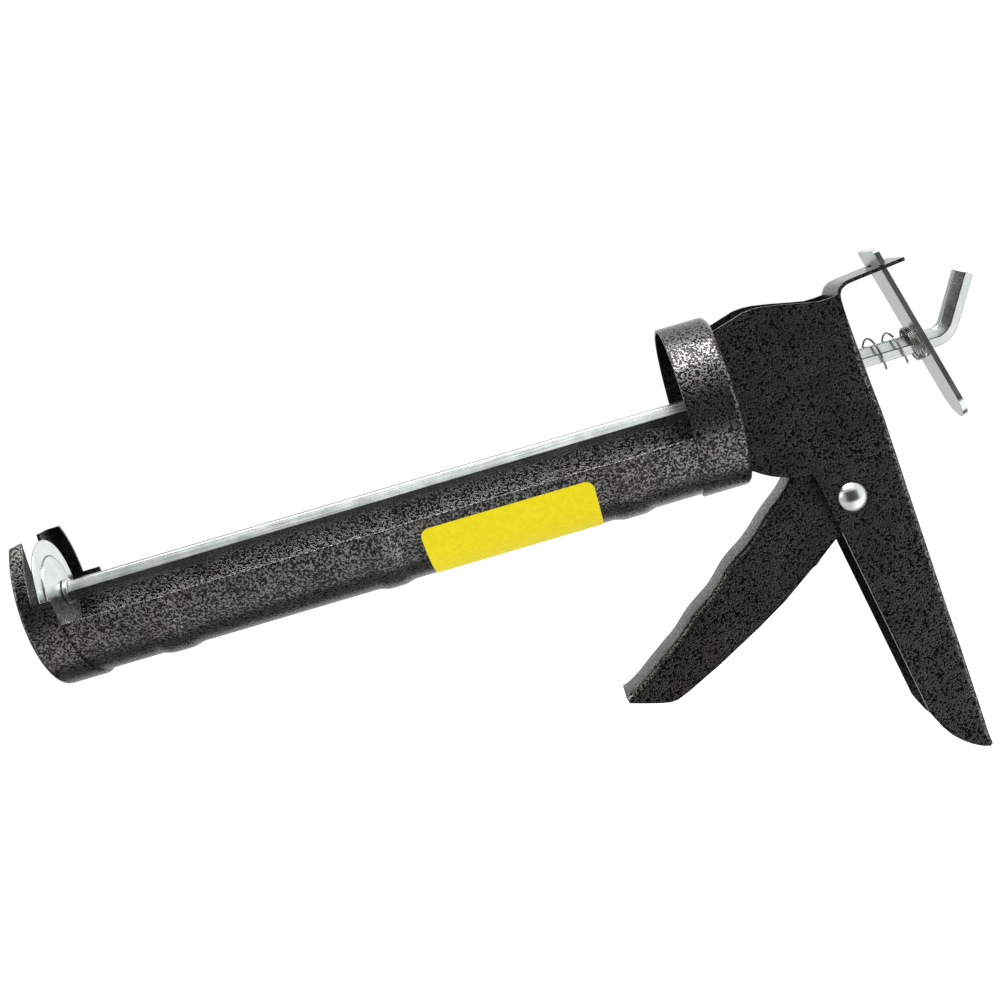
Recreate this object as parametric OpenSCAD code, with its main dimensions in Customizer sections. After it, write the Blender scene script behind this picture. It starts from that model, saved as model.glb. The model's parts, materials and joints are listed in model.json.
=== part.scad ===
// Half-barrel ratchet caulking gun for a 50 mm sealant cartridge.
// Origin: on the rod axis, in the outer face of the front cap. +X runs back to the handle,
// +Z up, the side that carries the label is -Y.  All sizes in mm.

/* [Barrel] */
// inner radius of the half barrel that holds the cartridge
barrel_r = 26.2; // [25.5:0.1:27]
// distance of the barrel's axis below the axis of the rod
barrel_drop = 0.6; // [0:0.1:1]
// thickness of the pressed sheet of barrel, cap and cup
sheet_t = 1.0; // [0.8:0.1:1.2]
// angle by which the labelled long edge of the barrel stops below the axis
rim_angle = 12.1; // [8:0.1:20]
// the same angle at the other long edge, as the barrel sits turned a little in cap and cup
far_rim_angle = 7.6; // [5:0.1:20]
// how far each stiffening bead stands out
bead_h = 0.9; // [0.5:0.1:1.2]
// length of the slope on each side of a bead
bead_run = 3; // [1:0.5:4]
// length of the deep part of the front cap skirt
cap_skirt = 12.6; // [12:0.1:16]
// depth of that skirt at its upper end, where it steps down to the horns
cap_shoulder = 10.4; // [8:0.1:11.5]
// half width of the open nozzle slot in the front cap
nozzle_r = 8.8; // [7:0.1:10]
// height of the two horns of the front cap above the axis
horn_z = 19.8; // [16:0.1:21]
// front edge of the rear cup
cup_x = 213; // [205:1:218]

/* [Handle] */
// outside width of the folded handle frame
frame_w = 22.6; // [21:0.1:25]
// sheet thickness of the handle frame
frame_t = 1.2; // [1:0.1:1.5]
// outside width of the trigger channel
trigger_w = 17; // [15:0.1:18]
// radius of the domed rivet head
rivet_head_r = 4.7; // [4:0.1:5.5]

/* [Rod and plunger] */
// hex rod, size across its flats
rod_af = 6.35; // [6:0.05:6.4]
// distance from tooth to tooth
tooth_pitch = 4.6; // [4:0.1:6]
// depth of the ratchet teeth
tooth_depth = 1.1; // [0.8:0.1:1.6]
// radius of the pressed plunger disc
disc_r = 18.3; // [16:0.1:22]
// length of the straight part of the hook
hook_len = 17; // [12:0.5:24]
// angle by which the hook is bent up
hook_angle = 59; // [45:1:80]

/* [Release lever] */
// width of the release lever below its head
lever_w = 16; // [13:0.5:16]
// width of the head above the tab
lever_head_w = 21; // [18:0.5:22]
// distance from the tab down to the centre of the lever's round end
lever_drop = 49.5; // [44:0.5:54]
// lean of the lever from upright
lever_lean = 15.5; // [13:0.5:18]
// outside diameter of the release spring
spring_od = 12; // [11.5:0.1:13]

/* [Hidden] */
$fn = 96;

cradle_or = barrel_r + sheet_t;
cup_ir = cradle_or + 0.05;
cup_or = cup_ir + sheet_t;
cup_back = 229.3;
label_r = cradle_or + 0.03;
hw = frame_w / 2;
tw = trigger_w / 2;
pivot = [258.5, -41];
pawl_at = [263.5, -12.4];
rod_r = rod_af / 2 / cos(30);
bend_r = 7;
bend_x = 299.9;
lever_at = [287.7, 27.9];
lever_t = 1.8;
wire_r = 0.36;
paint = [0.16, 0.16, 0.17];
zinc = [0.78, 0.80, 0.80];
steel = [0.55, 0.56, 0.57];

// outline of the handle frame seen from the side, from the front top corner round the bottom
frame_outline = [
    [229.4, 22.9], [229.4, -23.6], [231.8, -25.3], [234.7, -27.0], [237.8, -28.3],
    [240.9, -29.1], [244.2, -29.7], [247.4, -29.9], [248.2, -30.4], [248.6, -31.6],
    [264.4, -117.2], [265.6, -119.8], [267.3, -123.2], [269.6, -126.5], [272.3, -129.2],
    [275.2, -131.4], [278.6, -133.2], [280.8, -133.8], [282.1, -133.2], [281.8, -129.9],
    [281.3, -118.9], [280.7, -108.6], [280.1, -97.6], [279.1, -82.7], [275.4, -18.9],
    [273.5, 0], [271.6, 21.5], [271.1, 22.9], [267.5, 22.6], [264.0, 22.6], [259.3, 23.5],
    [252.9, 24.9], [246.6, 26.0], [243.0, 26.2], [239.8, 25.9], [237.6, 25.2]];

// rear face of the frame from the bottom tip to the end of the lever tab
spine_line = [
    [282.1, -133.2], [281.8, -129.9], [281.3, -118.9], [280.7, -108.6], [280.1, -97.6],
    [279.1, -82.7], [275.4, -18.9], [273.5, 0], [271.6, 21.5], [271.8, 22.9],
    [272.6, 24.2], [274.1, 25.1], [276.0, 25.5], [294.5, 27.4]];

// front face of the trigger from the frame down to the tip, with its finger waves
trigger_front = [
    [246.0, -24.5], [241.2, -30.2], [236.9, -34.5], [232.6, -37.7], [228.8, -40.9],
    [225.2, -44.3], [221.3, -47.4], [217.1, -50.0], [213.3, -52.8], [210.1, -56.0],
    [206.8, -59.0], [203.0, -61.5], [198.8, -64.3], [195.2, -67.4], [192.0, -70.3],
    [188.6, -72.6], [185.0, -75.1], [181.1, -77.8], [177.0, -80.8], [173.4, -82.9],
    [170.4, -84.3]];

// the rest of the trigger side, from the tip back to the pivot
trigger_rear = [
    [171.0, -86.2], [174.8, -87.4], [180.2, -89.0], [184.0, -89.8],
    [186.6, -89.6], [190.7, -88.0], [202.5, -82.5], [218.5, -74.2], [228.8, -68.3],
    [240.3, -60.4], [242.2, -59.6], [243.8, -58.1], [249.6, -53.8], [255.0, -50.2],
    [262.5, -49.2], [267.8, -43.0], [267.0, -36.0], [263.0, -28.0], [256.0, -23.0]];

// smooth curve through the points, with n spans between each two
function curve(p, n) = concat(
    [for (i = [0:len(p) - 2]) for (j = [0:n - 1]) let (
        t = j / n,
        a = p[max(i - 1, 0)], b = p[i], c = p[i + 1], d = p[min(i + 2, len(p) - 1)])
        (2 * b + (c - a) * t + (2 * a - 5 * b + 4 * c - d) * t * t
            + (3 * b - a - 3 * c + d) * t * t * t) / 2],
    [p[len(p) - 1]]);

function inset(p, q) = let (d = q - p, n = norm(d)) [-d[1] / n, d[0] / n];
function side_of(path, i) =
    inset(path[max(i - 1, 0)], path[min(i + 1, len(path) - 1)]);
// closed strip of sheet t thick that follows a path on its left side
function strip(path, t) = concat(path,
    [for (i = [len(path) - 1:-1:0]) path[i] + t * side_of(path, i)]);

trigger_curve = curve(trigger_front, 3);

module across(y0, y1) {
    translate([0, y1, 0])
        rotate([90, 0, 0])
            linear_extrude(y1 - y0) children();
}

module along_x(x) {
    translate([x, 0, 0])
        rotate([0, 90, 0]) children();
}

module rod_x(x0, x1, r) {
    along_x(x0) cylinder(h = x1 - x0, r = r);
}

module pin_y(at, y0, y1, r) {
    translate([at[0], y1, at[1]])
        rotate([90, 0, 0]) cylinder(h = y1 - y0, r = r);
}

// strip of a tube round X between two angles, counted from straight down towards +Y
module wrap_x(x, a0, a1) {
    along_x(x)
        rotate([0, 0, a0])
            rotate_extrude(angle = a1 - a0) children();
}

// the same round the axis of the barrel
module barrel_x(x, a0, a1) {
    translate([0, 0, -barrel_drop]) wrap_x(x, a0, a1) children();
}

// wire coil along X: mean radius r, wire radius w, open turns, then closed turns that lean
// over by up to `lean` degrees
module coil(r, w, x0, x1, open_turns, closed_turns, lean = 0, from = 0, seg = 28, sides = 8) {
    n = round((open_turns + closed_turns) * seg);
    pitch = 2.25 * w;
    open_len = (x1 - x0) - closed_turns * pitch;
    pts = [for (i = [0:n]) let (
            a = from + 360 * i / seg,
            k = i / seg,
            open_k = min(k, open_turns),
            x = x0 + open_len * open_k / open_turns + pitch * (k - open_k),
            s = pow((x - x0) / (x1 - x0), 3),
            c = [x - r * sin(a) * tan(lean) * s, r * cos(a), r * sin(a)])
        for (j = [0:sides - 1]) let (b = 360 * j / sides)
            c + w * [sin(b), cos(b) * cos(a), cos(b) * sin(a)]];
    faces = concat(
        [for (i = [0:n - 1]) for (j = [0:sides - 1]) let (q = (j + 1) % sides)
            [i * sides + j, i * sides + q, (i + 1) * sides + q, (i + 1) * sides + j]],
        [[for (j = [sides - 1:-1:0]) j]],
        [[for (j = [0:sides - 1]) n * sides + j]]);
    polyhedron(points = pts, faces = faces, convexity = 8);
}

module bead_profile(r, x, w) {
    polygon([[r - 0.02, x - w / 2 - bead_run], [r + bead_h, x - w / 2],
             [r + bead_h, x + w / 2], [r - 0.02, x + w / 2 + bead_run]]);
}

module cradle() {
    color(paint)
        barrel_x(0, rim_angle - 90, 90 - far_rim_angle)
            difference() {
                union() {
                    translate([barrel_r, sheet_t + 0.1])
                        square([sheet_t, cup_back - 2 * sheet_t - 0.3]);
                    bead_profile(cradle_or, 38.5, 7);
                    bead_profile(cradle_or, 110, 6);
                    bead_profile(cradle_or, 190, 8);
                }
                bead_profile(barrel_r, 38.5, 7);
                bead_profile(barrel_r, 110, 6);
                bead_profile(barrel_r, 190, 8);
            }
}

// section of a pressed cup: closed end at 0, rounded outer corner of radius c
module cup_profile(len, c) {
    difference() {
        union() {
            translate([0, c]) square([cup_or, len - c]);
            square([cup_or - c, c + 0.1]);
            translate([cup_or - c, c]) circle(r = c);
        }
        translate([-1, sheet_t]) square([cup_ir + 1, len]);
        translate([-c - 1, -c]) square([c + 1, len + 3 * c]);
    }
}

module front_cap() {
    color(paint)
        difference() {
            barrel_x(0, 0, 360) cup_profile(cap_skirt, 1.4);
            translate([-1, -40, horn_z]) cube([20, 80, 20]);
            translate([4.6, -40, 2]) cube([20, 80, 40]);
            translate([cap_shoulder, -40, 2])
                rotate([0, -atan((cap_skirt - cap_shoulder) / (2 + cup_or)), 0])
                    translate([0, 0, -60]) cube([20, 80, 100]);
            rod_x(-1, 5, nozzle_r);
            translate([-1, -nozzle_r, 0]) cube([6, 2 * nozzle_r, 30]);
        }
}

module cup_rivet_spots() {
    for (y = [-7.6, 7.6]) {
        for (z = [-13, 13]) {
            translate([0, y, z]) children();
        }
    }
}

module rear_cup() {
    color(paint)
        difference() {
            translate([cup_back, 0, -barrel_drop])
                rotate([0, -90, 0])
                    rotate_extrude() cup_profile(cup_back - cup_x, 2.1);
            rod_x(cup_back - 5, cup_back + 1, 5);
            cup_rivet_spots() rod_x(cup_back - 5, cup_back + 1, 1.5);
        }
}

module cup_rivets() {
    color(steel)
        cup_rivet_spots() {
            rod_x(cup_back - sheet_t, cup_back + 0.1 + frame_t, 1.5);
            rod_x(cup_back - sheet_t - 0.8, cup_back - sheet_t, 2.6);
            rod_x(cup_back + 0.1 + frame_t, cup_back + 0.9 + frame_t, 2.4);
        }
}

module handle_frame() {
    color(paint)
        difference() {
            union() {
                across(-hw, -hw + frame_t) polygon(frame_outline);
                across(hw - frame_t, hw) polygon(frame_outline);
                across(-hw, hw) polygon(strip(spine_line, frame_t));
                for (s = [-1, 1]) {
                    translate([cup_back + 0.1, s > 0 ? 4.8 : -hw, -22.4])
                        cube([frame_t, hw - 4.8, 44.8]);
                }
            }
            rod_x(265, 280, 4.2);
            pin_y(pivot, -hw - 1, hw + 1, 3);
            translate([lever_at[0] - 1.6, -lever_w / 2 - 0.4, 24])
                cube([3.2, lever_w + 0.8, 8]);
            cup_rivet_spots() rod_x(cup_back - 1, cup_back + 3, 1.5);
        }
}

module barrel_label() {
    color([0.92, 0.84, 0.10])
        barrel_x(0, -70.5, -4)
            translate([label_r, 123.5]) square([0.2, 55.7]);
}

module trigger_pivot_rivet() {
    color(zinc) {
        pin_y(pivot, -hw, hw, 3);
        pin_y(pivot, hw, hw + 1.3, 4.2);
        intersection() {
            translate([pivot[0], -hw - 2.4 + 6.0, pivot[1]]) sphere(r = 6.0);
            pin_y(pivot, -hw - 4, -hw, rivet_head_r);
        }
    }
}

module pivot_spacer() {
    color(steel)
        difference() {
            pin_y(pivot, -tw + frame_t + 0.35, tw - frame_t - 0.35, 4.4);
            pin_y(pivot, -hw, hw, 3);
        }
}

module pivot_washers() {
    color(steel)
        difference() {
            union() {
                pin_y(pivot, -hw + frame_t, -tw - 0.3, 7);
                pin_y(pivot, tw + 0.3, hw - frame_t, 7);
            }
            pin_y(pivot, -hw, hw, 3);
        }
}

module trigger_side() {
    difference() {
        union() {
            polygon(concat(trigger_curve, trigger_rear));
            translate(pivot) circle(r = 9);
            translate(pawl_at) circle(r = 4);
            polygon([[254, -30], [259.6, -13.4], [267.4, -11.8], [267.4, -36]]);
        }
        translate(pivot) circle(r = 3.1);
        translate(pawl_at) circle(r = 1.5);
    }
}

module trigger_lever() {
    color(paint) {
        across(-tw, -tw + frame_t) trigger_side();
        across(tw - frame_t, tw) trigger_side();
        across(-tw, tw) polygon(strip(trigger_curve, frame_t));
    }
}

module trigger_return_spring() {
    color(steel) {
        translate([pivot[0], 0, pivot[1]])
            rotate([0, 0, 90]) coil(5.4, 0.5, -4, 4, 6, 0);
        translate([pivot[0] - 5.4, -4, pivot[1]]) cylinder(h = 13, r = 0.5);
        translate([pivot[0] - 5.4, 4, pivot[1] - 10]) cylinder(h = 10, r = 0.5);
    }
}

module pawl_pin() {
    color(zinc) pin_y(pawl_at, -tw - 0.5, tw + 0.5, 1.5);
}

module pawl_spring() {
    color(steel)
        translate([pawl_at[0], 0, pawl_at[1]])
            rotate([0, 0, 90]) coil(2.2, 0.3, 3.8, 6.6, 4, 0, seg = 20, sides = 6);
}

module drive_pawl() {
    color(steel)
        difference() {
            union() {
                pin_y(pawl_at, -3, 3, 3.4);
                across(-3, 3)
                    polygon([[260.4, -13.8], [257.6, -4.9], [259.4, -4.5], [262.2, -7.0],
                             [266.7, -11.4], [265.4, -15.2]]);
            }
            pin_y(pawl_at, -4, 4, 1.58);
        }
}

module plunger_disc() {
    color(zinc)
        difference() {
            along_x(0)
                rotate_extrude()
                    difference() {
                        union() {
                            translate([0, 3.0]) square([disc_r - 0.5, 1]);
                            translate([disc_r - 0.5, 3.5]) circle(r = 0.5);
                        }
                        translate([-4, 0]) square([4, 8]);
                    }
            rod_x(0, 8, 2.58);
        }
}

// shallow pressed dome that backs the disc, open towards the disc
module plunger_dome() {
    color(zinc)
        along_x(0)
            rotate_extrude()
                polygon([[2.58, 6.4], [4.2, 6.4], [6.6, 6.2], [9.4, 5.7], [11.6, 5.0],
                         [13.0, 4.05], [12.0, 4.05], [11.1, 4.4], [9.0, 5.0], [6.4, 5.5],
                         [4.2, 5.7], [2.58, 5.7]]);
}

module plunger_washer() {
    color(zinc)
        difference() {
            rod_x(2.3, 3.0, 6.2);
            rod_x(0, 8, 2.58);
        }
}

module plunger_collar() {
    color(zinc)
        difference() {
            rod_x(6.7, 8.2, 4.1);
            rod_x(0, 10, 2.4);
        }
}

// saw teeth for the flat under the rod, as one comb of cuts
module tooth_comb() {
    first = 52;
    count = floor((266 - first) / tooth_pitch);
    pts = [for (i = [0:count - 1]) each [
        [first + i * tooth_pitch, -rod_af / 2],
        [first + (i + 0.78) * tooth_pitch, -rod_af / 2 + tooth_depth],
        [first + (i + 0.78) * tooth_pitch, -rod_af / 2]]];
    polygon(concat([[first, -rod_af / 2 - 2]], pts,
        [[first + count * tooth_pitch, -rod_af / 2], [first + count * tooth_pitch, -rod_af / 2 - 2]]));
}

module push_rod() {
    color(zinc) {
        rod_x(1.9, 8.3, 2.4);
        rod_x(1.3, 2.0, 4.0);
        difference() {
            along_x(8.2) rotate([0, 0, 30]) cylinder(h = bend_x - 8.2, r = rod_r, $fn = 6);
            across(-8, 8) tooth_comb();
        }
        translate([bend_x, 0, bend_r])
            rotate([90, 0, 0])
                rotate([0, 0, -90])
                    rotate_extrude(angle = hook_angle)
                        translate([bend_r, 0]) rotate(30) circle(r = rod_r, $fn = 6);
        translate([bend_x, 0, bend_r])
            rotate([0, -hook_angle, 0])
                translate([0, 0, -bend_r])
                    along_x(0) rotate([0, 0, 30]) cylinder(h = hook_len, r = rod_r, $fn = 6);
    }
}

module lever_blank() {
    difference() {
        union() {
            translate([-lever_w / 2, -lever_drop]) square([lever_w, lever_drop + 4]);
            translate([0, -lever_drop]) circle(r = lever_w / 2);
            translate([-lever_head_w / 2 + 1.5, 0.4]) square([lever_head_w - 3, 5.2]);
            translate([-lever_head_w / 2, 0.4]) square([lever_head_w, 3.7]);
            for (s = [-1, 1]) {
                translate([s * (lever_head_w / 2 - 1.5), 4.1]) circle(r = 1.5);
            }
        }
        translate([0, -28.2]) circle(r = 4.3);
        translate([0, -30.0]) circle(r = 4.3);
        translate([-4.3, -30.0]) square([8.6, 1.8]);
    }
}

module release_lever() {
    color(zinc)
        translate([lever_at[0], 0, lever_at[1]])
            rotate([0, -lever_lean, 0])
                rotate([90, 0, 90])
                    linear_extrude(lever_t, center = true) lever_blank();
}

module release_spring() {
    color(steel)
        coil(spring_od / 2 - wire_r, wire_r, 274.9, 294.0, 2.45, 3, lever_lean, 240);
}

cradle();
front_cap();
rear_cup();
cup_rivets();
handle_frame();
barrel_label();
trigger_pivot_rivet();
pivot_spacer();
pivot_washers();
trigger_lever();
trigger_return_spring();
pawl_pin();
pawl_spring();
drive_pawl();
plunger_disc();
plunger_dome();
plunger_washer();
plunger_collar();
push_rod();
release_lever();
release_spring();
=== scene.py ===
# Looks of the half-barrel ratchet caulking gun: hammertone painted steel, zinc plated
# rod, plunger and release lever, steel wire springs and a plain yellow label film.
# Metres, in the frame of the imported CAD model: +X runs back to the handle, +Z up.
import json
import math

import bmesh
import bpy
from mathutils import Euler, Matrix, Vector


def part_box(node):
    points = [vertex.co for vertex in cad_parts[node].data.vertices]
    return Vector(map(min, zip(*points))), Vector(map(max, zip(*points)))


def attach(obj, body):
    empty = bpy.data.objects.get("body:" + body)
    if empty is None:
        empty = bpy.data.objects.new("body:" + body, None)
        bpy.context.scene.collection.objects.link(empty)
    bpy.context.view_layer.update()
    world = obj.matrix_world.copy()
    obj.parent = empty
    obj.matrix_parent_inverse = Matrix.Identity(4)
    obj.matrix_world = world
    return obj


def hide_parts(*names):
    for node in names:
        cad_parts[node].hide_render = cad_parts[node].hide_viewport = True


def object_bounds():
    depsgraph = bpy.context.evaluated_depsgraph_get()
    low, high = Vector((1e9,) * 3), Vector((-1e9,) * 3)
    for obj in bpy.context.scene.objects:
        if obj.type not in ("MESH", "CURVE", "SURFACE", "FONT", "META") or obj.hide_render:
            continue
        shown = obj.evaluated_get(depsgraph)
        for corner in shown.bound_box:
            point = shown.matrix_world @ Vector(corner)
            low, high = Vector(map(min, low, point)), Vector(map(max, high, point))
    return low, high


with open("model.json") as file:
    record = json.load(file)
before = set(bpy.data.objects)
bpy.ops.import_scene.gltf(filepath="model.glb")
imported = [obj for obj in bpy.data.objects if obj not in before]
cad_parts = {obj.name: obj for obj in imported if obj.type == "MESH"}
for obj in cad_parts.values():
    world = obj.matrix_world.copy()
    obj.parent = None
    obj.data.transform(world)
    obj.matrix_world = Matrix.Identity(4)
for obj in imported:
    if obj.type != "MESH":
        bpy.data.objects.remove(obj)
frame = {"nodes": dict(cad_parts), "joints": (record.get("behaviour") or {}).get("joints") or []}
CAD_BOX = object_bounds()
MM = 0.001

SAME_POINT = 0.002 * MM  # points closer than this are merged
FLAT = math.radians(0.4)  # faces that meet at less than this are one flat face
SHARP = math.radians(34)  # edges that turn by more than this stay visible edges
SHEET_EDGE_MM = 0.25  # rounding of the edges of painted sheet

# ---------------------------------------------------------------- shader graph helper


class Graph:
    """Short ways to add and link shader nodes in a node tree."""

    def __init__(self, tree, coordinates="Object"):
        self.tree = tree
        self.where = self.add("ShaderNodeTexCoord").outputs[coordinates]

    def add(self, kind, inputs=(), **settings):
        node = self.tree.nodes.new(kind)
        for key, value in settings.items():
            setattr(node, key, value)
        for key, value in dict(inputs).items():
            if isinstance(value, bpy.types.NodeSocket):
                self.tree.links.new(value, node.inputs[key])
            else:
                node.inputs[key].default_value = value
        return node

    def math(self, operation, a, b=0.0):
        return self.add("ShaderNodeMath", {0: a, 1: b}, operation=operation).outputs[0]

    def scaled(self, x, y, z):
        """The object coordinates, stretched."""
        node = self.add("ShaderNodeMapping", {"Vector": self.where, "Scale": (x, y, z)})
        return node.outputs["Vector"]

    def noise(self, per_metre, detail=2.0, vector=None):
        inputs = {"Vector": vector or self.where, "Scale": per_metre, "Detail": detail}
        return self.add("ShaderNodeTexNoise", inputs).outputs["Fac"]

    def ramp(self, value, low, high, to_low=0.0, to_high=1.0):
        """Smooth step of value from low..high to to_low..to_high."""
        inputs = {"Value": value, "From Min": low, "From Max": high,
                  "To Min": to_low, "To Max": to_high}
        node = self.add("ShaderNodeMapRange", inputs, interpolation_type="SMOOTHSTEP")
        return node.outputs["Result"]

    def mix(self, factor, a, b):
        """Mix of two fixed colours."""
        node = self.add("ShaderNodeMix", {"Factor": factor, 6: (*a, 1.0), 7: (*b, 1.0)},
                        data_type="RGBA")
        return node.outputs[2]


class Finish(Graph):
    """A node material with its Principled shader."""

    def __init__(self, name, **shader_values):
        self.material = bpy.data.materials.new(name)
        self.material.use_nodes = True
        super().__init__(self.material.node_tree)
        self.shader = self.tree.nodes["Principled BSDF"]
        for socket, value in shader_values.items():
            self.shader.inputs[socket.replace("_", " ")].default_value = value

    def drive(self, socket, value):
        self.tree.links.new(value, self.shader.inputs[socket])

    def bump(self, height, depth, strength):
        inputs = {"Height": height, "Distance": depth, "Strength": strength}
        self.drive("Normal", self.add("ShaderNodeBump", inputs).outputs["Normal"])


# ---------------------------------------------------------------- materials


def hammertone():
    """Hammered enamel: dark glossy dimples in a grey metallic network, slightly raised."""
    black, grey = (0.002, 0.002, 0.002), (0.200, 0.198, 0.187)
    g = Finish("hammertone_enamel")
    wobble = g.add("ShaderNodeTexNoise", {"Vector": g.where, "Scale": 1500.0, "Detail": 1.0})
    shift = g.add("ShaderNodeVectorMath", {0: wobble.outputs["Color"], 1: (0.6 * MM,) * 3},
                  operation="MULTIPLY")
    warped = g.add("ShaderNodeVectorMath", {0: g.where, 1: shift.outputs[0]}, operation="ADD")
    cells = g.add("ShaderNodeTexVoronoi", {"Vector": warped.outputs[0], "Scale": 1150.0},
                  feature="DISTANCE_TO_EDGE").outputs["Distance"]
    breaks = g.math("MULTIPLY", g.math("SUBTRACT", g.noise(1100.0), 0.5), 1.1)
    network = g.ramp(g.math("ADD", cells, breaks), 0.02, 0.15, 1.0, 0.0)
    patches = g.ramp(g.noise(90.0), 0.3, 0.7, 0.8, 1.1)
    g.drive("Base Color", g.mix(g.math("MULTIPLY", network, patches), black, grey))
    g.drive("Metallic", g.ramp(network, 0.0, 0.5))
    g.drive("Specular IOR Level", g.ramp(network, 0.0, 1.0, 0.18, 0.5))
    g.drive("Roughness", g.ramp(network, 0.0, 1.0, 0.18, 0.25))
    g.bump(network, 0.05 * MM, 0.6)
    return g.material


def zinc_plate(name, streak_share, dark, light):
    """Bright zinc plating: faint cloudy patches, and drawing streaks along X."""
    g = Finish(name, Metallic=1.0)
    streaks = g.noise(1.0, 3.0, g.scaled(40.0, 2600.0, 2600.0))
    clouds = g.noise(180.0, 3.0)
    tone = g.math("ADD", g.math("MULTIPLY", streaks, streak_share),
                  g.math("MULTIPLY", clouds, 1.0 - streak_share))
    g.drive("Base Color", g.mix(g.ramp(tone, 0.3, 0.7), dark, light))
    g.drive("Roughness", g.ramp(tone, 0.3, 0.7, 0.20, 0.30))
    g.bump(tone, 0.01 * MM, 0.5)
    return g.material


def plain_steel():
    """Uncoated pressed steel, darker than the zinc, with a fine grain."""
    g = Finish("plain_steel", Metallic=1.0)
    grain = g.noise(1500.0, 4.0)
    g.drive("Base Color", g.mix(grain, (0.30, 0.29, 0.28), (0.50, 0.49, 0.47)))
    g.drive("Roughness", g.ramp(grain, 0.3, 0.7, 0.28, 0.45))
    g.bump(grain, 0.02 * MM, 0.5)
    return g.material


def spring_wire():
    """Drawn spring steel wire with a little tarnish."""
    clean, tarnished = (0.46, 0.45, 0.43), (0.26, 0.24, 0.22)
    g = Finish("spring_wire", Metallic=1.0)
    tarnish = g.noise(420.0, 3.0)
    g.drive("Base Color", g.mix(g.ramp(tarnish, 0.4, 0.7), clean, tarnished))
    g.drive("Roughness", g.ramp(tarnish, 0.3, 0.7, 0.22, 0.36))
    g.bump(g.noise(2600.0), 0.01 * MM, 0.4)
    return g.material


def yellow_film():
    """Yellow label film: even colour, faint mottling and a fine orange-peel gloss."""
    g = Finish("yellow_label_film", Specular_IOR_Level=0.1)
    mottle = g.ramp(g.noise(500.0, 4.0), 0.35, 0.65)
    g.drive("Base Color", g.mix(mottle, (0.56, 0.46, 0.003), (0.60, 0.50, 0.005)))
    g.drive("Roughness", g.ramp(g.noise(1200.0), 0.3, 0.7, 0.45, 0.60))
    g.bump(g.noise(700.0, 3.0), 0.02 * MM, 0.35)
    return g.material


def studio_paper():
    """Pale studio paper of the floor."""
    g = Finish("studio_paper", Roughness=0.9)
    g.drive("Base Color", g.mix(g.noise(300.0, 3.0), (0.86, 0.86, 0.86), (0.88, 0.88, 0.88)))
    return g.material


PAINT, STEEL, WIRE = hammertone(), plain_steel(), spring_wire()
ZINC = zinc_plate("zinc_plating", 0.1, (0.55, 0.59, 0.57), (0.68, 0.72, 0.71))
DRAWN_ZINC = zinc_plate("drawn_zinc_plating", 0.6, (0.36, 0.39, 0.37), (0.52, 0.55, 0.53))

# ---------------------------------------------------------------- carried-over CAD nodes

# node: material, edge rounding in mm
CAD_FINISH = {
    "front_cap": (PAINT, SHEET_EDGE_MM),
    "rear_cup": (PAINT, SHEET_EDGE_MM),
    "cup_rivets": (STEEL, 0.3),
    "trigger_pivot_rivet": (ZINC, 0.15),
    "pivot_spacer": (STEEL, 0.2),
    "pivot_washers": (STEEL, 0.1),
    "pawl_pin": (ZINC, 0.25),
    "drive_pawl": (STEEL, 0.25),
    "plunger_disc": (ZINC, 0.0),
    "plunger_dome": (ZINC, 0.0),
    "plunger_washer": (ZINC, 0.15),
    "plunger_collar": (ZINC, 0.25),
    "push_rod": (DRAWN_ZINC, 0.35),
    "release_lever": (ZINC, 0.35),
}


def smooth_faces_group():
    """Geometry node group that turns smooth shading on."""
    group = bpy.data.node_groups.new("smooth_faces", "GeometryNodeTree")
    group.interface.new_socket("Geometry", in_out="INPUT", socket_type="NodeSocketGeometry")
    group.interface.new_socket("Geometry", in_out="OUTPUT", socket_type="NodeSocketGeometry")
    start, end = group.nodes.new("NodeGroupInput"), group.nodes.new("NodeGroupOutput")
    smooth = group.nodes.new("GeometryNodeSetShadeSmooth")
    group.links.new(start.outputs[0], smooth.inputs[0])
    group.links.new(smooth.outputs[0], end.inputs[0])
    return group


def round_edges(piece, edge_mm):
    """Rounds the sharp edges of a piece."""
    bevel = piece.modifiers.new("edge", "BEVEL")
    bevel.width = edge_mm * MM
    bevel.segments = 2
    bevel.limit_method = "ANGLE"
    bevel.angle_limit = SHARP


def finish_cad_nodes():
    """Gives each CAD node its material, rounded edges and smooth shading."""
    smooth_faces = smooth_faces_group()
    for name, (material, edge_mm) in CAD_FINISH.items():
        node = frame["nodes"][name]
        for place in node.material_slots:
            place.material = material
        weld = node.modifiers.new("weld", "WELD")
        weld.merge_threshold = SAME_POINT
        flat = node.modifiers.new("flat", "DECIMATE")
        flat.decimate_type = "DISSOLVE"
        flat.angle_limit = FLAT
        if edge_mm:
            round_edges(node, edge_mm)
        node.modifiers.new("smooth", "NODES").node_group = smooth_faces
        node.modifiers.new("normals", "WEIGHTED_NORMAL")


# ---------------------------------------------------------------- new pieces


def new_piece(name, data, material, body, node):
    """Links a new object that stands for a CAD node and rides on a body."""
    piece = bpy.data.objects.new(name, data)
    bpy.context.scene.collection.objects.link(piece)
    piece.data.materials.clear()
    piece.data.materials.append(material)
    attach(piece, body)
    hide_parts(node)
    return piece


def finished_mesh(bm, name):
    """Mesh of bm: side plates shaded flat, the rest smooth between sharp edges."""
    for face in bm.faces:
        face.smooth = abs(face.normal.y) < 0.999
    for edge in bm.edges:
        if len(edge.link_faces) == 2 and edge.calc_face_angle() > SHARP:
            edge.smooth = False
    mesh = bpy.data.meshes.new(name)
    bm.to_mesh(mesh)
    bm.free()
    return mesh


def y_extent(face):
    sides = [v.co.y for v in face.verts]
    return max(sides) - min(sides)


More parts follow.
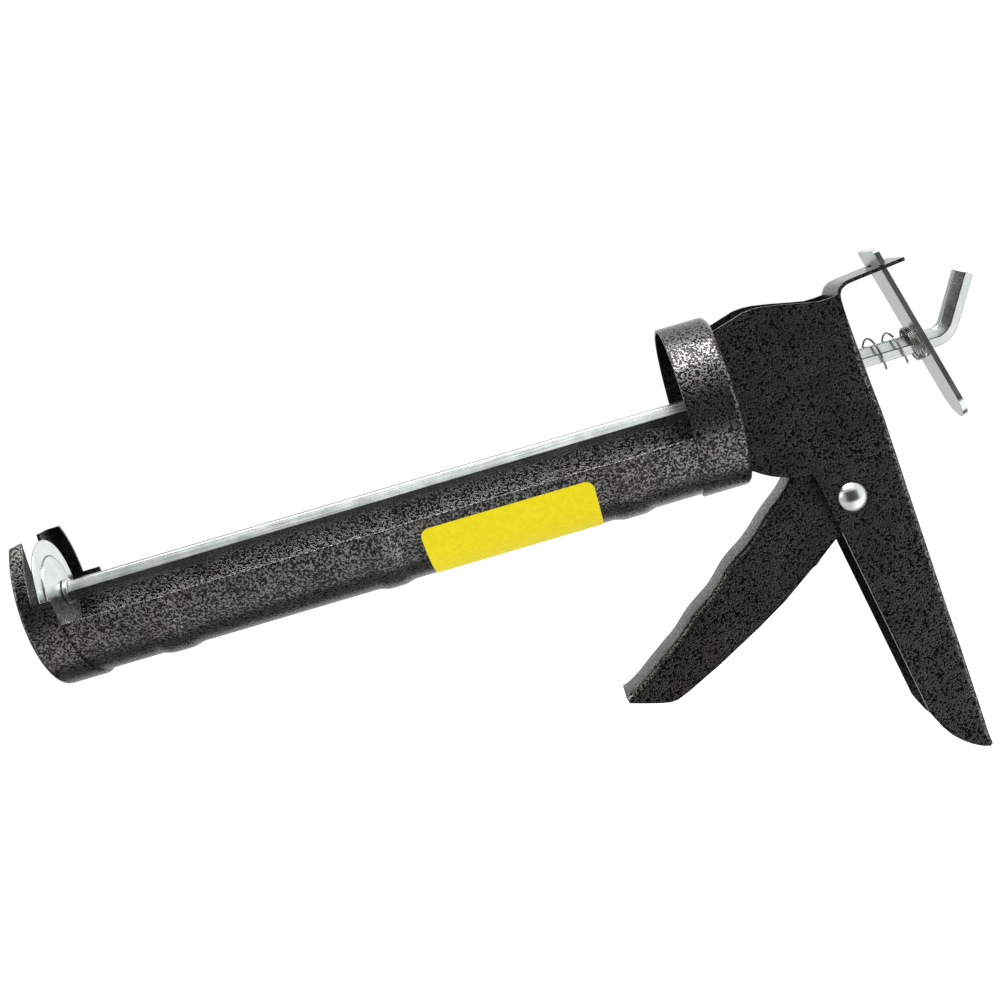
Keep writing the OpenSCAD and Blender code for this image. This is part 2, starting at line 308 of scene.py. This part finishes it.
def is_fold(edge, half_width, top):
    """True for an outer edge between a side plate and a wall that joins the plates."""
    if len(edge.link_faces) != 2:
        return False
    if any(abs(abs(v.co.y) - half_width) > 0.05 * MM or v.co.z > top for v in edge.verts):
        return False
    plates = [f for f in edge.link_faces if abs(f.normal.y) > 0.9]
    walls = [f for f in edge.link_faces if abs(f.normal.y) < 0.1 and y_extent(f) > 3 * MM]
    return len(plates) == 1 and len(walls) == 1


def folded_sheet(node, name, body, radius_mm, top):
    """Copy of a folded sheet part whose folds below the height top have a bend radius."""
    bm = bmesh.new()
    bm.from_mesh(frame["nodes"][node].data)
    bmesh.ops.remove_doubles(bm, verts=bm.verts, dist=SAME_POINT)
    bmesh.ops.dissolve_limit(bm, angle_limit=FLAT, verts=bm.verts, edges=bm.edges)
    half_width = max(v.co.y for v in bm.verts)
    folds = [e for e in bm.edges if is_fold(e, half_width, top)]
    bmesh.ops.bevel(bm, geom=folds, offset=radius_mm * MM, segments=8, profile=0.5,
                    affect="EDGES", clamp_overlap=False)
    mesh = finished_mesh(bm, name)
    piece = new_piece(name, mesh, PAINT, body, node)
    round_edges(piece, SHEET_EDGE_MM)


# ---------------------------------------------------------------- springs

STEPS_PER_TURN = 32


def wire_piece(name, points, radius_mm, body, node):
    """Round wire along a line of points, in mm."""
    curve = bpy.data.curves.new(name, "CURVE")
    curve.dimensions = "3D"
    curve.bevel_depth = radius_mm * MM
    curve.bevel_resolution = 4
    curve.use_fill_caps = True
    spline = curve.splines.new("POLY")
    spline.points.add(len(points) - 1)
    for place, point in zip(spline.points, points):
        place.co = (*(c * MM for c in point), 1.0)
    new_piece(name, curve, WIRE, body, node)


def release_spring():
    """Compression spring round the rod: open turns, then closed turns leaning with the lever."""
    wire, radius, lean = 0.36, 5.64, math.tan(math.radians(15.5))
    start_angle = math.radians(240)
    open_turns, closed_turns = 2.45, 3
    start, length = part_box("release_spring")[0].x / MM + wire, 19.1
    pitch = wire * 2.25
    open_length = length - closed_turns * pitch
    points = []
    for i in range(round((open_turns + closed_turns) * STEPS_PER_TURN) + 1):
        turn = i / STEPS_PER_TURN
        angle = start_angle + turn * math.tau
        open_part = min(turn, open_turns)
        along = open_length * open_part / open_turns + pitch * (turn - open_part)
        tilt = radius * math.sin(angle) * lean * (along / length) ** 3
        points.append((start + along - tilt, radius * math.cos(angle), radius * math.sin(angle)))
    wire_piece("release_spring_wire", points, wire, "gun_frame", "release_spring")


def torsion_spring(name, body, node, joint, radius, wire, y0, y1, turns, legs=()):
    """Coil in mm round a joint's axis, with straight legs: (y, rise) for the first and last."""
    x, _, z = (c / MM for c in joint["pos_m"])
    count = turns * STEPS_PER_TURN
    points = []
    for i in range(count + 1):
        angle = math.tau * i / STEPS_PER_TURN
        points.append((x - radius * math.cos(angle), y0 + (y1 - y0) * i / count,
                       z + radius * math.sin(angle)))
    if legs:
        first, last = ((x - radius, y, z + rise) for y, rise in legs)
        points = [first] + points + [last]
    wire_piece(name, points, wire, body, node)


def springs():
    joints = {j["name"]: j for j in frame["joints"]}
    release_spring()
    torsion_spring("trigger_return_spring_wire", "gun_frame", "trigger_return_spring",
                   joints["trigger_squeeze"], radius=5.4, wire=0.5, y0=-4.0, y1=4.0, turns=6,
                   legs=((-4.0, 13.0), (4.0, -10.0)))
    torsion_spring("pawl_spring_wire", "trigger", "pawl_spring",
                   joints["pawl_tilt"], radius=2.2, wire=0.3, y0=3.8, y1=6.6, turns=4)


# ---------------------------------------------------------------- barrel and label

BARREL_AXIS_Z = -0.6 * MM
BARREL_RADIUS_MM = 26.2  # inside
BARREL_SHEET_MM = 1.0
BEADS_MM = ((38.5, 7.0), (110.0, 6.0), (190.0, 8.0))  # place along X, width of the flat


def on_barrel(x, radius, angle):
    """Point round the barrel's axis: angle 0 is straight down, positive toward the label."""
    return x, -radius * math.sin(angle), BARREL_AXIS_Z - radius * math.cos(angle)


def bead_height(x):
    """How far the barrel sheet bulges out at x, in mm."""
    height, slope, beyond_flat = 0.9, 4.5, 3.6
    for centre, flat in BEADS_MM:
        t = (flat / 2 + beyond_flat - abs(x - centre)) / slope
        if t > 0:
            t = min(t, 1.0)
            return height * t * t * (3 - 2 * t)
    return 0.0


def close_sheet(bm, outer, inner):
    """Faces of a thin sheet between two grids of vertices, with its four edges."""
    for one, two in zip(outer, outer[1:]):
        for a, b, c, d in zip(one, one[1:], two[1:], two):
            bm.faces.new((a, b, c, d))
    for one, two in zip(inner, inner[1:]):
        for a, b, c, d in zip(one, one[1:], two[1:], two):
            bm.faces.new((d, c, b, a))
    for end in (0, -1):
        for a, b, c, d in zip(outer[end], outer[end][1:], inner[end][1:], inner[end]):
            bm.faces.new((a, b, c, d))
    for end in (0, -1):
        rim = [(row_out[end], row_in[end]) for row_out, row_in in zip(outer, inner)]
        for (a, d), (b, c) in zip(rim, rim[1:]):
            bm.faces.new((a, b, c, d))
    bmesh.ops.recalc_face_normals(bm, faces=bm.faces)


def cradle():
    """Half barrel rolled from sheet, with three soft pressed beads round it."""
    low, high = (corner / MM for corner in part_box("cradle"))
    near_rim, far_rim = math.radians(90 - 12.1), -math.radians(90 - 7.6)
    steps, arc = 227, 72
    angles = [near_rim + (far_rim - near_rim) * k / arc for k in range(arc + 1)]
    bm = bmesh.new()

    def skin(radius):
        rows = []
        for i in range(steps + 1):
            x = low.x + (high.x - low.x) * i / steps
            r = radius + bead_height(x)
            rows.append([bm.verts.new(on_barrel(x * MM, r * MM, a)) for a in angles])
        return rows

    close_sheet(bm, skin(BARREL_RADIUS_MM + BARREL_SHEET_MM), skin(BARREL_RADIUS_MM))
    piece = new_piece("cradle_sheet", finished_mesh(bm, "cradle_sheet"), PAINT, "gun_frame",
                      "cradle")
    round_edges(piece, SHEET_EDGE_MM)


def label():
    """Film label wrapped on the near side of the barrel, with rounded corners."""
    low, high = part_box("barrel_label")
    gap, film, corner = 0.03 * MM, 0.2 * MM, 3.0 * MM
    inner = (BARREL_RADIUS_MM + BARREL_SHEET_MM) * MM + gap
    outer = inner + film
    first, last = math.radians(4.0), math.radians(70.5)
    rounds, middle, rows = 8, 24, 36
    quarter = [corner * (1 - math.cos(math.pi / 2 * i / rounds)) for i in range(rounds)]
    spans = [low.x + q for q in quarter]
    spans += [low.x + corner + (high.x - low.x - 2 * corner) * i / middle
              for i in range(middle + 1)]
    spans += [high.x - q for q in reversed(quarter)]
    bm = bmesh.new()

    def column(x, radius):
        edge = min(x - low.x, high.x - x, corner)
        cut = (corner - math.sqrt(max(corner ** 2 - (corner - edge) ** 2, 0.0))) / outer
        a, b = first + cut, last - cut
        return [bm.verts.new(on_barrel(x, radius, a + (b - a) * i / rows))
                for i in range(rows + 1)]

    close_sheet(bm, [column(x, outer) for x in spans], [column(x, inner) for x in spans])
    new_piece("label_film", finished_mesh(bm, "label_film"), yellow_film(), "gun_frame",
              "barrel_label")


# ---------------------------------------------------------------- studio


def camera():
    """Nearly level, from the left side, rolled so that the barrel climbs to the right."""
    data = bpy.data.cameras.new("camera")
    data.sensor_width = 36.0
    data.lens = 53.2
    data.shift_x, data.shift_y = -0.078, -0.0775
    eye = bpy.data.objects.new("camera", data)
    eye.location = (0.1701, -0.4778, 0.0552)
    eye.rotation_euler = Euler([math.radians(a) for a in (83.877, 16.137, -2.953)])
    bpy.context.scene.collection.objects.link(eye)
    bpy.context.scene.camera = eye


def softbox(name, location, target, size, watts):
    light = bpy.data.lights.new(name, "AREA")
    light.shape = "RECTANGLE"
    light.size, light.size_y = size
    light.energy = watts
    lamp = bpy.data.objects.new(name, light)
    lamp.location = location
    toward = Vector(target) - Vector(location)
    lamp.rotation_euler = toward.to_track_quat("-Z", "Y").to_euler()
    bpy.context.scene.collection.objects.link(lamp)


def floor():
    """Pale paper below the object."""
    bm = bmesh.new()
    bmesh.ops.create_circle(bm, cap_ends=True, segments=96, radius=4.0)
    mesh = bpy.data.meshes.new("floor")
    bm.to_mesh(mesh)
    bm.free()
    paper = bpy.data.objects.new("floor", mesh)
    paper.location = (0.15, 0.0, CAD_BOX[0].z - 0.12)
    paper.visible_glossy = False
    mesh.materials.append(studio_paper())
    bpy.context.scene.collection.objects.link(paper)


def sky():
    """Pale surroundings for reflections, laid out by the angle round the X axis: 0 is level
    on the camera's side, 90 overhead, -90 straight down. The camera's side is dark, and so
    is a band low behind the object. Everything but reflections sees plain white."""
    world = bpy.data.worlds.new("studio")
    world.use_nodes = True
    bpy.context.scene.world = world
    g = Graph(world.node_tree, "Generated")
    along = g.add("ShaderNodeSeparateXYZ", {0: g.where}).outputs
    turn = g.math("DEGREES", g.math("ARCTAN2", along["Z"], g.math("MULTIPLY", along["Y"], -1.0)))

    def band(low, high, soft, level):
        """1 outside the angles low..high, level inside them."""
        inside = g.math("MULTIPLY", g.ramp(turn, low - soft, low + soft),
                        g.ramp(turn, high - soft, high + soft, 1.0, 0.0))
        return g.ramp(inside, 0.0, 1.0, 1.0, level)

    sideways = g.math("ABSOLUTE", along["X"])
    camera_side = g.math("MAXIMUM", band(-32.0, 40.0, 7.0, 0.08), g.ramp(sideways, 0.5, 0.8))
    low_behind = band(-134.0, -97.0, 6.0, 0.12)
    floor_side = band(-97.0, -32.0, 7.0, 1.35)
    to_the_right = g.ramp(along["X"], -0.35, 0.45, 0.65, 1.25)
    light = g.math("MULTIPLY", g.math("MULTIPLY", camera_side, low_behind),
                   g.math("MULTIPLY", floor_side, to_the_right))
    ray = g.add("ShaderNodeLightPath").outputs
    plain = g.ramp(ray["Is Camera Ray"], 0.0, 1.0, 1.25, 1.0)
    pick = g.add("ShaderNodeMix", {"Factor": ray["Is Glossy Ray"], "A": plain, "B": light})
    background = world.node_tree.nodes["Background"]
    background.inputs["Color"].default_value = (1.0, 1.0, 1.0, 1.0)
    g.tree.links.new(pick.outputs["Result"], background.inputs["Strength"])


def studio():
    bpy.context.scene.view_settings.view_transform = "Standard"
    camera()
    floor()
    sky()
    softbox("overhead", (0.16, -0.14, 0.70), (0.16, -0.14, 0.0), (0.7, 0.4), 7.2)
    softbox("front_fill", (-0.7, -0.25, 0.35), (0.1, 0.0, 0.0), (0.5, 0.5), 1.5)


# ---------------------------------------------------------------- assembly

finish_cad_nodes()
cradle()
folded_sheet("trigger_lever", "trigger_channel", "trigger", 2.4, top=1.0)
folded_sheet("handle_frame", "handle_channel", "gun_frame", 2.2, top=22.6 * MM)
springs()
label()
studio()
